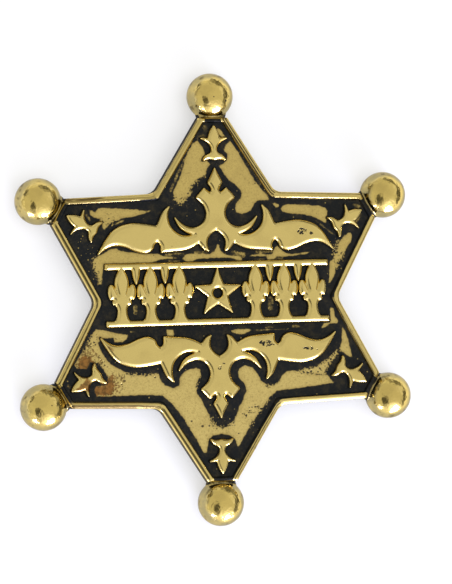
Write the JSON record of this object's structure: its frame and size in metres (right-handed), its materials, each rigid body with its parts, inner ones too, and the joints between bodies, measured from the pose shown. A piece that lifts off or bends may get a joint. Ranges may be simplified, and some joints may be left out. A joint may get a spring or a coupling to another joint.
{
  "type": "sheriff star badge",
  "caption": "Cast six-pointed star badge with a ball on each point, raised scrolls and a bar pin behind.",
  "frame": {"origin": "under the middle of the star, on the surface that the six balls rest on", "axes": "+Z out of the badge's face, +Y towards its top point, +X to the right as the face is seen"},
  "size_m": [0.067, 0.0762, 0.0078],
  "materials": {
    "antique_gold": "polished gold plate with a black wash left in the hollows",
    "pin_steel": "bright nickel plate, lightly brushed"
  },
  "bodies": {
    "root": {"star": "antique_gold", "bar_pin": "pin_steel"}
  },
  "joints": []
}
